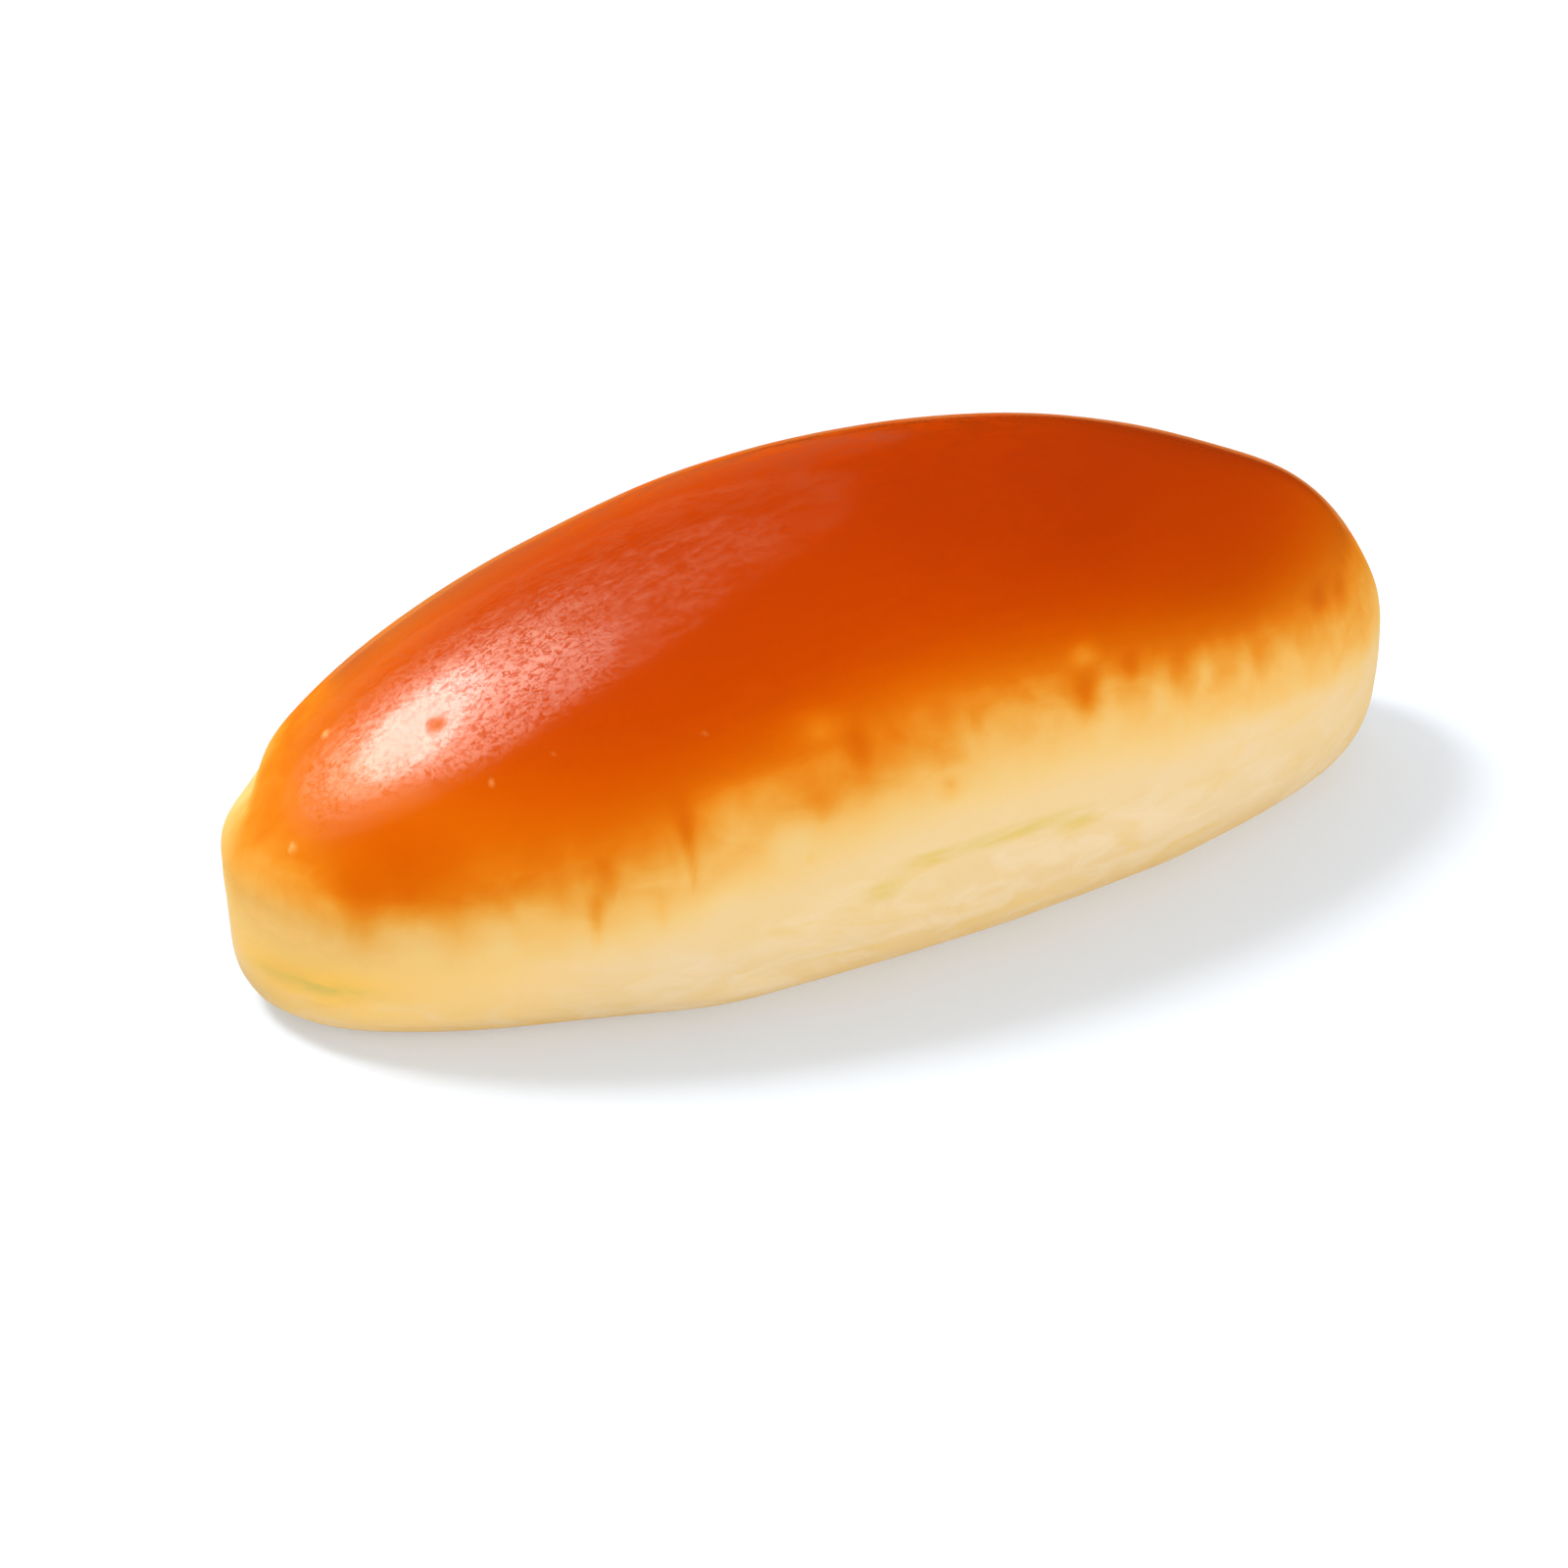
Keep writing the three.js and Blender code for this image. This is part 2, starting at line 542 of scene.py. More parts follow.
@dataclass(frozen=True)
class Tree:
    """Adds nodes to one node tree and links them."""

    tree: bpy.types.NodeTree

    def add(self, kind: str, **settings: object) -> bpy.types.Node:
        """Adds a node.

        Args:
            kind: The node's type. ShaderNode is put before it, unless it starts with Node.
            **settings: Values for the node's own properties.

        Returns:
            The new node.
        """
        node = self.tree.nodes.new(kind if kind.startswith("Node") else "ShaderNode" + kind)
        for name, value in settings.items():
            setattr(node, name, value)
        return node

    def join(self, source: Value, target: Socket) -> None:
        """Links a socket to another, or sets the target's own value."""
        if isinstance(source, Socket):
            self.tree.links.new(source, target)
        else:
            target.default_value = source

    def value(self, operation: str, *inputs: Value) -> Socket:
        """Adds a Math node.

        Args:
            operation: The sum that it does.
            *inputs: Its inputs, as sockets or numbers.

        Returns:
            Its output.
        """
        node = self.add("Math", operation=operation)
        for source, target in zip(inputs, node.inputs):
            self.join(source, target)
        return node.outputs[0]

    def product(self, *factors: Value) -> Socket:
        """Multiplies values.

        Args:
            *factors: Two values or more, as sockets or numbers.

        Returns:
            Their product.
        """
        total = factors[0]
        for factor in factors[1:]:
            total = self.value("MULTIPLY", total, factor)
        return total

    def rest(self, share: Value) -> Socket:
        """What a share leaves of 1."""
        return self.value("SUBTRACT", 1.0, share)

    def between(self, share: Value, first: Value, second: Value) -> Socket:
        """Mixes two colours.

        Args:
            share: How much of the second colour there is.
            first: The first colour.
            second: The second colour.

        Returns:
            The mixed colour.
        """
        node = self.add("Mix", data_type="RGBA")
        sockets = {socket.identifier: socket for socket in (*node.inputs, *node.outputs)}
        self.join(share, sockets["Factor_Float"])
        self.join(first, sockets["A_Color"])
        self.join(second, sockets["B_Color"])
        return sockets["Result_Color"]

    def ease(self, value: Value, start: float, end: float) -> Socket:
        """Eases a value from 0 at one level to 1 at another.

        Args:
            value: The value to ease.
            start: The level that gives 0.
            end: The level that gives 1, which may be the lower of the two.

        Returns:
            The eased value.
        """
        node = self.add("MapRange", interpolation_type="SMOOTHSTEP")
        self.join(value, node.inputs["Value"])
        node.inputs["From Min"].default_value = min(start, end)
        node.inputs["From Max"].default_value = max(start, end)
        node.inputs["To Min"].default_value = float(start > end)
        node.inputs["To Max"].default_value = float(start <= end)
        return node.outputs["Result"]

    def layer(self, layer: Layer) -> Socket:
        """Reads one of the values that the skin carries."""
        return self.add("Attribute", attribute_name=layer.value).outputs["Fac"]


@dataclass(frozen=True)
class Lumps:
    """One noise of the crust, with the size of its lumps along the roll, across it and up, in millimetres.

    Detail is how many finer layers it has, rough is how strong they are, and warp is how far it is swirled.
    Share is its strength, and span the noise's levels at which its mask starts and is full.
    """

    size: Triple
    detail: float
    rough: float
    warp: float
    share: float = 1.0
    span: Pair = (0.0, 1.0)


@dataclass(frozen=True)
class Grain:
    """Node group of a noise whose lumps have a real size, and whose swing about its middle is stretched."""

    name: str = "Grain"
    sizes: tuple[str, str, str] = ("Along", "Across", "Up")
    settings: tuple[str, str, str] = ("Detail", "Rough", "Warp")
    middle: float = 0.5
    gain: float = 4.0

    def group(self) -> bpy.types.NodeTree:
        """Builds the group on its first use.

        Returns:
            The group, with sizes in millimetres in, and a value about 0 out.
        """
        made = bpy.data.node_groups.get(self.name)
        if made:
            return made
        made = bpy.data.node_groups.new(self.name, "ShaderNodeTree")
        for label in (*self.sizes, *self.settings):
            socket = made.interface.new_socket(label, in_out="INPUT", socket_type="NodeSocketFloat")
            socket.default_value = 1.0
        made.interface.new_socket("Value", in_out="OUTPUT", socket_type="NodeSocketFloat")
        tree = Tree(made)
        given = tree.add("NodeGroupInput")
        sizes = tree.add("CombineXYZ")
        for axis, label in zip("XYZ", self.sizes):
            tree.join(given.outputs[label], sizes.inputs[axis])
        place = tree.add("VectorMath", operation="SCALE")
        tree.join(tree.add("TexCoord").outputs["Object"], place.inputs[0])
        place.inputs["Scale"].default_value = 1 / MM
        shares = tree.add("VectorMath", operation="DIVIDE")
        tree.join(place.outputs[0], shares.inputs[0])
        tree.join(sizes.outputs[0], shares.inputs[1])
        noise = tree.add("TexNoise", noise_dimensions="3D")
        noise.inputs["Scale"].default_value = 1.0
        tree.join(shares.outputs[0], noise.inputs["Vector"])
        for label, target in zip(self.settings, ("Detail", "Roughness", "Distortion")):
            tree.join(given.outputs[label], noise.inputs[target])
        swing = tree.value("SUBTRACT", noise.outputs["Fac"], self.middle)
        result = tree.add("NodeGroupOutput")
        tree.join(tree.product(swing, self.gain), result.inputs[0])
        return made


@dataclass(frozen=True)
class GrainedTree(Tree):
    """Node tree of a material that reads the grain."""

    grain: Grain = Grain()

    def noise(self, lumps: Lumps) -> Socket:
        """Places the grain's group.

        Args:
            lumps: The noise's settings.

        Returns:
            The noise, mostly from -1 to 1.
        """
        node = self.add("Group", node_tree=self.grain.group())
        values = (*lumps.size, lumps.detail, lumps.rough, lumps.warp)
        for label, value in zip((*self.grain.sizes, *self.grain.settings), values):
            node.inputs[label].default_value = value
        return node.outputs[0]

    def swing(self, lumps: Lumps) -> Socket:
        """Noise that goes as far below 0 as above it, times the share of its lumps."""
        return self.product(self.noise(lumps), lumps.share)

    def mask(self, lumps: Lumps) -> Socket:
        """Noise eased into a mask, from 0 to the share of its lumps."""
        return self.product(self.ease(self.noise(lumps), *lumps.span), lumps.share)


@dataclass(frozen=True)
class Tone:
    """One colour of the baked skin, by its height above the browning line in millimetres."""

    above: float
    colour: Colour


@dataclass(frozen=True)
class Tint:
    """A colour laid over the skin, and its share where it is strongest."""

    colour: Colour
    share: float = 1.0


@dataclass(frozen=True)
class CrustFinish:
    """Finish of the whole skin: cream side, amber edge, orange to red-brown crown, and glaze.

    Levels are in millimetres above the browning line. Flames and blots feather that line. Patches, veins and
    curds mottle the pale side, and breaks mottle the yellow-green tint and painted shade along its folds.
    Leather, ripple, streaks and crumb are relief, and their shares are heights in millimetres. Net, flecks,
    strands and clouds are gaps in the glaze. The blisters' paler tint is partly a painted glint.
    """

    name: str = "baked_crust"
    tones: tuple[Tone, ...] = (
        Tone(-34, (225, 191, 133)),
        Tone(-28, (222, 188, 131)),
        Tone(-23, (221, 190, 139)),
        Tone(-18, (222, 192, 140)),
        Tone(-13, (224, 192, 137)),
        Tone(-11, (226, 190, 127)),
        Tone(-9, (226, 186, 115)),
        Tone(-7, (227, 179, 102)),
        Tone(-5, (226, 169, 85)),
        Tone(-3, (223, 155, 63)),
        Tone(-1, (219, 136, 38)),
        Tone(1, (213, 112, 15)),
        Tone(3, (204, 93, 4)),
        Tone(5, (195, 79, 1)),
        Tone(7, (187, 69, 1)),
        Tone(9, (181, 62, 1)),
        Tone(11, (177, 58, 1)),
        Tone(14, (171, 54, 1)),
        Tone(18, (165, 50, 2)),
        Tone(22, (160, 47, 3)),
    )
    rosy: Tint = Tint((223, 195, 152))
    gold: Tint = Tint((241, 189, 90))
    # Yellow-green tint of the folds, partly painted shade in their furrows.
    olive: Tint = Tint((210, 180, 92))
    vein: Tint = Tint((222, 186, 112))
    milk: Tint = Tint((226, 202, 164))
    underside: Tint = Tint((206, 150, 84), 0.9)
    # Paler tint of the blisters: partly their own pale crust and partly a painted glint.
    blister: Tint = Tint((232, 176, 96), 0.8)
    pit: Tint = Tint((205, 110, 62), 0.85)
    flames: Lumps = Lumps((4.0, 4.0, 8.0), 2.0, 0.5, 0.4, share=0.8)
    blots: Lumps = Lumps((7.0, 7.0, 5.0), 4.0, 0.5, 0.8, share=1.2)
    patches: Lumps = Lumps((13.0, 13.0, 4.0), 4.0, 0.55, 0.6, span=(-0.9, 0.7))
    veins: Lumps = Lumps((11.0, 11.0, 3.0), 3.0, 0.5, 0.9, share=0.5, span=(-0.1, 0.8))
    curds: Lumps = Lumps((9.0, 9.0, 3.8), 4.0, 0.55, 1.0, share=0.7, span=(-0.4, 1.0))
    breaks: Lumps = Lumps((7.0, 7.0, 1.6), 3.0, 0.55, 0.4, span=(-1.0, 0.3))
    leather: Lumps = Lumps((0.7, 0.5, 0.5), 3.0, 0.7, 0.5, share=0.012)
    ripple: Lumps = Lumps((3.0, 2.0, 2.0), 3.0, 0.6, 0.4, share=0.03)
    streaks: Lumps = Lumps((9.0, 1.8, 1.8), 3.0, 0.6, 0.3, share=0.07)
    crumb: Lumps = Lumps((2.4, 2.4, 1.4), 4.0, 0.6, 0.0, share=0.025)
    net: Lumps = Lumps((1.0, 0.7, 0.7), 4.0, 0.78, 0.8, share=0.9, span=(0.3, -0.5))
    flecks: Lumps = Lumps((2.6, 1.5, 1.5), 3.0, 0.6, 0.6, share=0.95, span=(-0.55, -0.95))
    strands: Lumps = Lumps((9.0, 1.3, 1.3), 4.0, 0.6, 0.3, share=0.7, span=(0.4, -0.6))
    clouds: Lumps = Lumps((5.0, 2.4, 2.4), 5.0, 0.75, 0.5, share=0.8, span=(0.5, -0.6))
    feather_middle: float = -4.0
    feather_fade: Pair = (8.0, 2.0)
    feather_least: float = 0.15
    pale_fade: Pair = (-6.0, -13.0)
    low_fade: Pair = (-12.0, -20.0)
    crumb_fade: Pair = (0.0, -10.0)
    crown_roughness: float = 0.5
    side_roughness: float = 0.8
    skin_shine: float = 0.0
    glaze_ior: float = 1.5
    glaze_roughness: float = 0.14

    def ramp(self, tree: Tree, level: Socket) -> Socket:
        """Colours the skin by its bake.

        Args:
            tree: The material's tree.
            level: Millimetres above the browning line.

        Returns:
            The skin's colour.
        """
        low = self.tones[0].above
        span = self.tones[-1].above - low
        ramp = tree.add("ValToRGB")
        elements = ramp.color_ramp.elements
        while len(elements) < len(self.tones):
            elements.new(1.0)
        for element, tone in zip(elements, self.tones):
            element.position = (tone.above - low) / span
            element.color = linear(*tone.colour)
        tree.join(tree.value("DIVIDE", tree.value("SUBTRACT", level, low), span), ramp.inputs["Fac"])
        return ramp.outputs["Color"]

    def level(self, tree: GrainedTree) -> Socket:
        """Feathers the browning line with upright flames and small blots.

        Args:
            tree: The material's tree.

        Returns:
            Millimetres above the browning line.
        """
        shift = tree.value("ADD", tree.swing(self.flames), tree.swing(self.blots))
        bake = tree.layer(Layer.BAKE)
        off = tree.value("ABSOLUTE", tree.value("SUBTRACT", bake, self.feather_middle))
        nearness = tree.ease(off, *self.feather_fade)
        share = tree.value("ADD", self.feather_least, tree.product(nearness, 1 - self.feather_least))
        return tree.value("ADD", bake, tree.product(shift, share))

    def lay(self, tree: Tree, below: Socket, tint: Tint, *masks: Socket) -> Socket:
        """Lays a tint over the colour below, as strong as the product of its masks."""
        return tree.between(tree.product(*masks, tint.share), below, linear(*tint.colour))

    def colour(self, tree: GrainedTree, level: Socket) -> Socket:
        """Works out the skin's colour.

        Args:
            tree: The material's tree.
            level: Millimetres above the browning line.

        Returns:
            The colour for the shader.
        """
        pale = tree.ease(level, *self.pale_fade)
        low = tree.ease(level, *self.low_fade)
        patches = tree.mask(self.patches)
        colour = self.ramp(tree, level)
        colour = self.lay(tree, colour, self.rosy, tree.layer(Layer.ROSY), patches, pale)
        colour = self.lay(tree, colour, self.gold, tree.layer(Layer.GOLD), pale)
        colour = self.lay(tree, colour, self.vein, tree.mask(self.veins), low)
        colour = self.lay(tree, colour, self.milk, tree.mask(self.curds), low)
        # Lays the yellow-green tint and painted furrow shade along the folds, broken up by noise.
        colour = self.lay(tree, colour, self.olive, tree.layer(Layer.OLIVE_AND_FOLD_SHADE), tree.mask(self.breaks))
        colour = self.lay(tree, colour, self.underside, tree.layer(Layer.UNDERSIDE))
        # Lays the blisters' paler tint, which is partly a painted glint.
        colour = self.lay(tree, colour, self.blister, tree.layer(Layer.BLISTER_AND_GLINT))
        return self.lay(tree, colour, self.pit, tree.layer(Layer.PIT))

    def relief(self, tree: GrainedTree, level: Socket) -> Socket:
        """Makes the fine relief: wrinkles in the glaze, long streaks and a faint crumb on the pale side.

        Args:
            tree: The material's tree.
            level: Millimetres above the browning line.

        Returns:
            The height in millimetres.
        """
        wrinkles = tree.value("ADD", tree.swing(self.leather), tree.swing(self.ripple))
        wrinkles = tree.product(wrinkles, tree.layer(Layer.WRINKLE))
        streaks = tree.product(tree.swing(self.streaks), tree.layer(Layer.STREAK))
        crumb = tree.product(tree.swing(self.crumb), tree.ease(level, *self.crumb_fade))
        return tree.value("ADD", tree.value("ADD", wrinkles, streaks), crumb)

    def glaze(self, tree: GrainedTree) -> Socket:
        """Spreads the glaze over the crown, worn to a net where it wrinkles and to strands along the ridge.

        Args:
            tree: The material's tree.

        Returns:
            How much glaze there is, from 0 to 1.
        """
        worn = tree.value("MAXIMUM", tree.mask(self.net), tree.mask(self.flecks))
        gaps = (
            tree.product(worn, tree.layer(Layer.WRINKLE)),
            tree.product(tree.mask(self.strands), tree.layer(Layer.STREAK)),
            tree.product(tree.mask(self.clouds), tree.layer(Layer.HAZE)),
            tree.layer(Layer.PIT),
        )
        return tree.product(*(tree.rest(gap) for gap in gaps), tree.layer(Layer.GLAZE))

    def build(self) -> bpy.types.Material:
        """Builds the material.

        Returns:
            The material, which reads the skin's layers.
        """
        material = bpy.data.materials.new(self.name)
        material.use_nodes = True
        tree = GrainedTree(material.node_tree)
        material.node_tree.nodes.clear()
        level = self.level(tree)
        shader = tree.add("BsdfPrincipled")
        shader.inputs["Specular IOR Level"].default_value = self.skin_shine
        shader.inputs["Coat IOR"].default_value = self.glaze_ior
        shader.inputs["Coat Roughness"].default_value = self.glaze_roughness
        tree.join(self.colour(tree, level), shader.inputs["Base Color"])
        tree.join(self.glaze(tree), shader.inputs["Coat Weight"])
        gloss = tree.product(tree.layer(Layer.GLAZE), self.side_roughness - self.crown_roughness)
        tree.join(tree.value("SUBTRACT", self.side_roughness, gloss), shader.inputs["Roughness"])
        bump = tree.add("Bump")
        bump.inputs["Strength"].default_value = 1.0
        bump.inputs["Distance"].default_value = MM
        tree.join(self.relief(tree, level), bump.inputs["Height"])
        tree.join(bump.outputs["Normal"], shader.inputs["Normal"])
        output = tree.add("OutputMaterial")
        tree.join(shader.outputs[0], output.inputs["Surface"])
        return material


@dataclass(frozen=True)
class TableFinish:
    """Finish of the plain pale surface that the roll lies on: matt, and lit from below like a light table."""

    name: str = "pale_table"
    colour: Colour = (178, 185, 194)
    glow: float = 0.35

    def build(self) -> bpy.types.Material:
        """Builds the material.

        Returns:
            The material, matt and softly glowing.
        """
        material = bpy.data.materials.new(self.name)
        material.use_nodes = True
        shader = material.node_tree.nodes["Principled BSDF"]
        shader.inputs["Base Color"].default_value = linear(*self.colour)
        shader.inputs["Roughness"].default_value = 1.0
        shader.inputs["Specular IOR Level"].default_value = 0.0
        shader.inputs["Emission Color"].default_value = (1, 1, 1, 1)
        shader.inputs["Emission Strength"].default_value = self.glow
        return material


@dataclass(frozen=True)
class Oval:
    """A soft round place on the crown, by its middle and half sizes in millimetres."""

    x: float
    y: float
    along: float
    across: float

    def at(self, points: Array) -> Array:
        """Strength of the place at each point."""
        x, y, _ = points.T
        return np.exp(-(((x - self.x) / self.along) ** 2) - ((y - self.y) / self.across) ** 2)


@dataclass(frozen=True)
class RaggedPatch:
    """A place on the crown with ragged edges, in millimetres.

    Each pair says where it starts and is full: inwards from the glaze's near edge, along the roll and across.
    """

    near: Pair
    along: Pair
    across: Pair
    raggedness: float = 1.0
    strength: float = 1.0

    def at(self, points: Array, inside: Array, ragged: Array) -> Array:
        """Works out how much of the place each point has.

        Args:
            points: Points on the skin.
            inside: How far inside the glaze's near edge each point is.
            ragged: How far its edges wander at each point.

        Returns:
            A share for each point.
        """
        x, y, _ = points.T
        ends = smooth_step(x + self.raggedness * ragged, *self.along) * smooth_step(y, *self.across)
        return self.strength * smooth_step(inside + ragged, *self.near) * ends


@dataclass(frozen=True)
class GlazeWear:
    """Where the crown's glaze is wrinkled, streaked, clouded or thin, in millimetres.

    Its near edge runs along the roll and bends inwards towards the -X end.
    """

    crown: Pair = (0.0, 2.5)
    near_edge: float = -22.0
    bend: float = 0.42
    bend_start: float = -40.0
    ragged_wave: Triple = (2.2, 2.2, 2.2)
    ragged_reach: float = 2.5
    wrinkled: RaggedPatch = RaggedPatch((-4.0, -0.5), (-31.0, -36.0), (14.0, 4.0))
    hazy: RaggedPatch = RaggedPatch((1.0, 9.0), (0.0, -14.0), (16.0, 4.0), 1.6, 0.8)
    smooth: Oval = Oval(-59.5, -7.0, 7.5, 4.5)
    smooth_share: float = 0.8
    streaked: Oval = Oval(-34.0, 2.0, 18.0, 8.0)
    clouded: tuple[Pair, Pair] = ((-42.0, -26.0), (45.0, 20.0))
    thin_near: Pair = (0.0, -5.0)
    thin_along: Pair = (-32.0, -50.0)
    thin_share: float = 0.85

    def layers(self, points: Array, bake: Array) -> dict[Layer, Array]:
        """Works out the values that the glaze reads.

        Args:
            points: Points on the skin.
            bake: How baked each point is.

        Returns:
            One value a vertex for each of the glaze's layers.
        """
        x, y, _ = points.T
        crown = smooth_step(bake, *self.crown)
        ragged = self.ragged_reach * SoftNoise(SEED + 2).at(points, self.ragged_wave)
        inside = y - self.near_edge - self.bend * np.maximum(self.bend_start - x, 0)
        wrinkles = np.maximum(self.wrinkled.at(points, inside, ragged), self.hazy.at(points, inside, ragged))
        thin = smooth_step(inside, *self.thin_near) * smooth_step(x, *self.thin_along)
        start, end = self.clouded
        return {
            Layer.GLAZE: crown * (1 - self.thin_share * thin),
            Layer.WRINKLE: crown * wrinkles * (1 - self.smooth_share * self.smooth.at(points)),
            Layer.STREAK: crown * self.streaked.at(points),
            Layer.HAZE: crown * smooth_step(x, *start) * smooth_step(x, *end),
        }


@dataclass(frozen=True)
class BreadRoll:
    """The roll: its skin as one closed mesh with fine relief, and its finish.

    Cells count the skin's grid along each axis. Lumps cover the skin, and stretch marks its pale side.
    """

    form: LoafForm
    browning: Browning = Browning()
    wear: GlazeWear = GlazeWear()
    # Places of the yellow-green tint and painted furrow shade along the folds.
    olive: tuple[Stain, ...] = OLIVE_AND_FOLD_SHADE_PLACES
    rosy: tuple[Stain, ...] = ROSY_PLACES
    gold: tuple[Stain, ...] = GOLD_PLACES
    cells: tuple[int, int, int] = (200, 100, 88)
    lump_wave: Triple = (13.0, 11.0, 9.0)
    lump_height: float = 0.1
    stretch_wave: Triple = (9.0, 9.0, 2.6)
    stretch_height: float = 0.1
    stretch_fade: Pair = (0.0, -10.0)
    underside_level: Pair = (1.2, 0.05)
    underside_facing: Pair = (0.3, 0.95)
    # Pits and blisters. The blisters also carry a paler tint that is partly a painted glint.
    pocks: tuple[Pock, ...] = (
        Pock((-56.4, -8.6, 38.9), 1.2, -0.15),
        Pock((-66.5, 2.3, 34.5), 0.5, 0.12),
        Pock((-76.6, 6.0, 24.9), 0.6, 0.15),
        Pock((-75.1, -7.2, 26.2), 0.55, 0.15),
        Pock((-54.0, -18.5, 35.5), 0.3, 0.05),
        Pock((-46.4, -20.0, 38.0), 0.3, 0.03),
        Pock((-29.6, -25.8, 39.4), 0.3, 0.03),
    )

    def lattice(self) -> tuple[Array, Array]:
        """Lays a grid of cells over a box and blows it up to a sphere.

        Returns:
            Unit directions of the grid's vertices, and the quads that join them, facing out.
        """
        counts = np.array(self.cells)
        corners = []
        for axis in range(3):
            first, second = (axis + 1) % 3, (axis + 2) % 3
            rows, columns = np.meshgrid(range(counts[first]), range(counts[second]), indexing="ij")
            for end in (0, counts[axis]):
                quad = np.zeros((rows.size, 4, 3), int)
                quad[:, :, axis] = end
                steps = ((0, 0), (1, 0), (1, 1), (0, 1)) if end else ((0, 0), (0, 1), (1, 1), (1, 0))
                for index, (right, up) in enumerate(steps):
                    quad[:, index, first] = rows.ravel() + right
                    quad[:, index, second] = columns.ravel() + up
                corners.append(quad)
        quads = np.concatenate(corners)
        places, indices = np.unique(quads.reshape(-1, 3), axis=0, return_inverse=True)
        box = np.tan((2 * places / counts - 1) * pi / 4)
        return box / np.linalg.norm(box, axis=1)[:, None], indices.reshape(-1, 4)

    def fine_relief(self, points: Array, bake: Array) -> Array:
        """Works out the skin's own unevenness.

        Args:
            points: Points on the skin.
            bake: How baked each point is.

        Returns:
            Heights in millimetres.
        """
        lumps = self.lump_height * SoftNoise(SEED).at(points, self.lump_wave)
        pale = smooth_step(bake, *self.stretch_fade)
        stretch = self.stretch_height * pale * SoftNoise(SEED + 1).at(points, self.stretch_wave)
        pocks = sum(pock.height * pock.share(points) for pock in self.pocks)
        return (lumps + stretch + pocks) * self.form.above_base(points)

    def layers(self, points: Array, normals: Array, bake: Array) -> dict[Layer, Array]:
        """Works out the values that the finish reads.

        Args:
            points: Points on the skin.
            normals: The directions in which it faces.
            bake: How baked each point is.

        Returns:
            One value a vertex for each layer.
        """
        low = smooth_step(points[:, 2], *self.underside_level)
        blisters = [pock for pock in self.pocks if pock.height > 0]
        pits = [pock for pock in self.pocks if pock.height < 0]
        layers = {
            Layer.BAKE: bake,
            Layer.BLISTER_AND_GLINT: sum(pock.share(points) * pock.tint for pock in blisters),
            Layer.PIT: sum(pock.share(points) for pock in pits),
            Layer.UNDERSIDE: low * smooth_step(-normals[:, 2], *self.underside_facing),
            **self.wear.layers(points, bake),
        }
        tints = {Layer.OLIVE_AND_FOLD_SHADE: self.olive, Layer.ROSY: self.rosy, Layer.GOLD: self.gold}
        for layer, places in tints.items():
            layers[layer] = np.minimum(sum(place.at(points) for place in places), 1)
        return layers

    def mesh(self) -> bpy.types.Object:
        """Builds the closed skin.

        Returns:
            The roll's object, in metres.
        """
        directions, quads = self.lattice()
        points = self.form.skin(directions)
        normals = self.form.facing(points)
        bake = self.browning.level(points, self.form)
        height = self.form.relief(points, normals) + self.fine_relief(points, bake)
        skin = self.form.fitted(points + normals * height[:, None])
        mesh = bpy.data.meshes.new("roll_skin")
        mesh.from_pydata((skin * MM).tolist(), [], quads.tolist())
        mesh.shade_smooth()
        for layer, values in self.layers(points, normals, bake).items():
            attribute = mesh.attributes.new(layer.value, "FLOAT", "POINT")
            attribute.data.foreach_set("value", values.astype(np.float32))
        mesh.validate()
        return placed("roll_skin", mesh)

    def build(self) -> bpy.types.Object:
        """Builds and dresses the roll, in place of its plain solid.

        Returns:
            The finished piece.
        """
        piece = self.mesh()
        piece.data.materials.append(CrustFinish().build())
        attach(piece, BODY)
        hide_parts(NODE)
        return piece


@dataclass(frozen=True)
class Lamp:
    """A lamp of the studio, by its direction from the roll.

    Angles are in degrees and sizes in metres. A sun has a spread. An oval softbox has a size, and may be
    turned about its line to the roll.
    """

    name: str
    azimuth: float
    elevation: float
    strength: float
    rays: Rays
    spread: float = 0.0
    size: Pair | None = None
    colour: Colour = (255, 255, 255)
    turned: float = 0.0
    distance: float = 3.0

    def build(self) -> bpy.types.Object:
        """Builds the lamp, a softbox where it has a size and otherwise a sun.

        Returns:
            The lamp's object.
        """
        data = bpy.data.lights.new(self.name, "AREA" if self.size else "SUN")
        if self.size:
            data.shape = "ELLIPSE"
            data.size, data.size_y = self.size
            area = pi / 4 * data.size * data.size_y
            data.energy = self.strength * pi * area
        else:
            data.energy = self.strength
            data.angle = radians(self.spread)
        data.color = linear(*self.colour)[:3]
        lamp = placed(self.name, data)
        away = direction(self.azimuth, self.elevation)
        lamp.location = away * self.distance
        facing = away.to_track_quat("Z", "Y") @ Quaternion((0, 0, 1), radians(self.turned))
        lamp.rotation_euler = facing.to_euler()
        lamp.visible_camera = False
        lamp.visible_diffuse, lamp.visible_glossy = self.rays.value
        data.cycles.use_multiple_importance_sampling = self.rays is not Rays.MATT
        return lamp


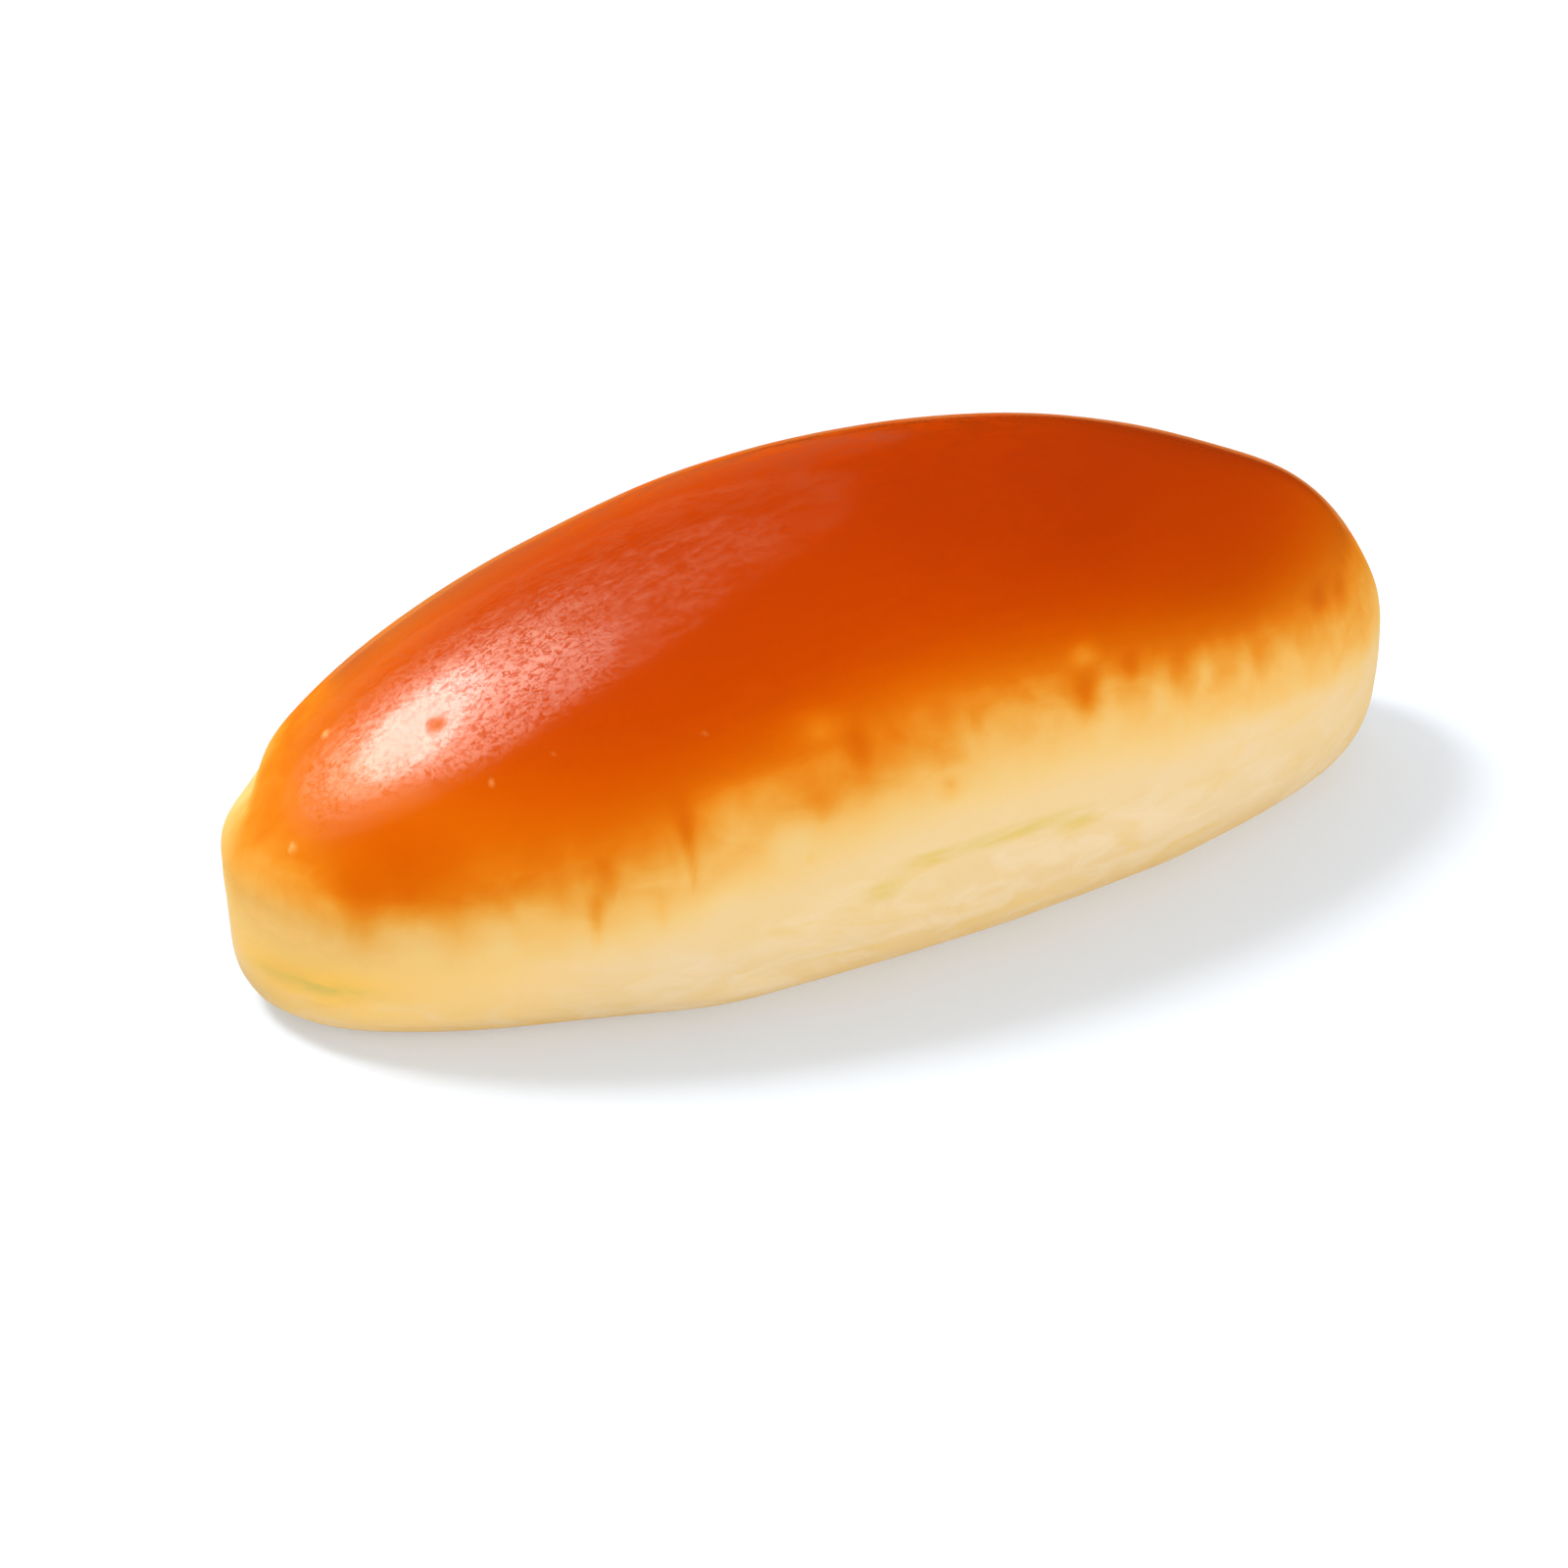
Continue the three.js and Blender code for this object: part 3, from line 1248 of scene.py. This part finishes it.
@dataclass(frozen=True)
class Studio:
    """Pale table, soft light and the camera.

    The suns light matt colour alone and the softboxes make the shine alone, so neither changes the other.
    The camera's place is given as a lamp's is, from the point that it looks at.
    """

    table_size: float = 6.0
    shine_ambient: float = 0.004
    lamps: tuple[Lamp, ...] = (
        Lamp("sky_dome", 0, 90, 1.57, Rays.MATT, spread=180),
        Lamp("key_sun", -42, 57, 2.8, Rays.MATT, spread=18),
        Lamp("front_fill", 175, 15, 2.0, Rays.MATT, spread=70),
        Lamp("end_fill", 90, 30, 0.35, Rays.MATT, spread=70),
        Lamp("back_fill", 20, 28, 0.7, Rays.MATT, spread=60),
        Lamp("glaze_core", -38, 53.5, 10.0, Rays.SHINE, size=(1.8, 0.85), colour=(255, 254, 252), turned=27),
        Lamp("glaze_ring", -37, 53, 3.6, Rays.SHINE, size=(2.4, 1.6), colour=(255, 244, 226), turned=25),
        Lamp("glaze_halo", -38, 53, 2.9, Rays.SHINE, size=(3.2, 2.4), colour=(255, 240, 215), turned=20),
        Lamp("glaze_crest", -50, 68, 3.0, Rays.SHINE, size=(1.9, 1.15), colour=(255, 252, 245)),
        Lamp("glaze_veil", -38, 53, 1.2, Rays.SHINE, size=(4.3, 3.6), colour=(255, 226, 190), turned=15),
        Lamp("glaze_haze", -32, 46, 0.5, Rays.SHINE, size=(6.4, 4.6), colour=(255, 208, 155), turned=15),
        Lamp("ridge_glow", 6, 10, 0.14, Rays.SHINE, size=(2.4, 2.8), colour=(255, 235, 200)),
        Lamp("rim_glow", 27, -25, 0.7, Rays.SHINE, size=(7.0, 1.5), colour=(255, 175, 95)),
    )
    camera_azimuth: float = 207.19
    camera_elevation: float = 31.09
    camera_distance: float = 0.7
    camera_aim: Triple = (-0.00648, -0.00155, 0.01302)
    camera_lens: float = 127.94
    camera_sensor: float = 36.0
    camera_clip: float = 0.01

    def table(self) -> None:
        """Lays the table under the roll."""
        half = self.table_size / 2
        mesh = bpy.data.meshes.new("table")
        corners = [(-half, -half, 0), (half, -half, 0), (half, half, 0), (-half, half, 0)]
        mesh.from_pydata(corners, [], [(0, 1, 2, 3)])
        mesh.materials.append(TableFinish().build())
        table = placed("table", mesh)
        table.visible_glossy = False

    def surroundings(self) -> None:
        """Makes the room, which looks white, lights no matt colour and is nearly dark in the shine."""
        world = bpy.data.worlds.new("studio")
        world.use_nodes = True
        world.node_tree.nodes.clear()
        tree = Tree(world.node_tree)
        path = tree.add("LightPath")
        shine = tree.value("MULTIPLY", path.outputs["Is Glossy Ray"], self.shine_ambient)
        strength = tree.value("ADD", path.outputs["Is Camera Ray"], shine)
        back = tree.add("Background")
        back.inputs["Color"].default_value = (1, 1, 1, 1)
        tree.join(strength, back.inputs["Strength"])
        output = tree.add("OutputWorld")
        tree.join(back.outputs[0], output.inputs["Surface"])
        bpy.context.scene.world = world

    def camera(self) -> None:
        """Places the camera where the roll looks as it does in the photo."""
        data = bpy.data.cameras.new("camera")
        data.lens = self.camera_lens
        data.sensor_width = self.camera_sensor
        data.clip_start = self.camera_clip
        back = direction(self.camera_azimuth, self.camera_elevation)
        camera = placed("camera", data)
        camera.location = Vector(self.camera_aim) + back * self.camera_distance
        camera.rotation_euler = back.to_track_quat("Z", "Y").to_euler()
        bpy.context.scene.camera = camera

    def build(self) -> None:
        """Builds the whole studio."""
        self.camera()
        self.table()
        self.surroundings()
        for lamp in self.lamps:
            lamp.build()
        bpy.context.scene.view_settings.view_transform = "Standard"


def main() -> None:
    """Builds the studio and the roll, and reports the piece."""
    logging.basicConfig(level=logging.INFO, format="%(name)s: %(message)s")
    Studio().build()
    low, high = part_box(NODE)
    length, width, height = (high - low) / MM
    roll = BreadRoll(LoafForm(length, width, height)).build()
    log.info("%s: %d vertices, %d faces", roll.name, len(roll.data.vertices), len(roll.data.polygons))


if __name__ == "__main__":
    main()
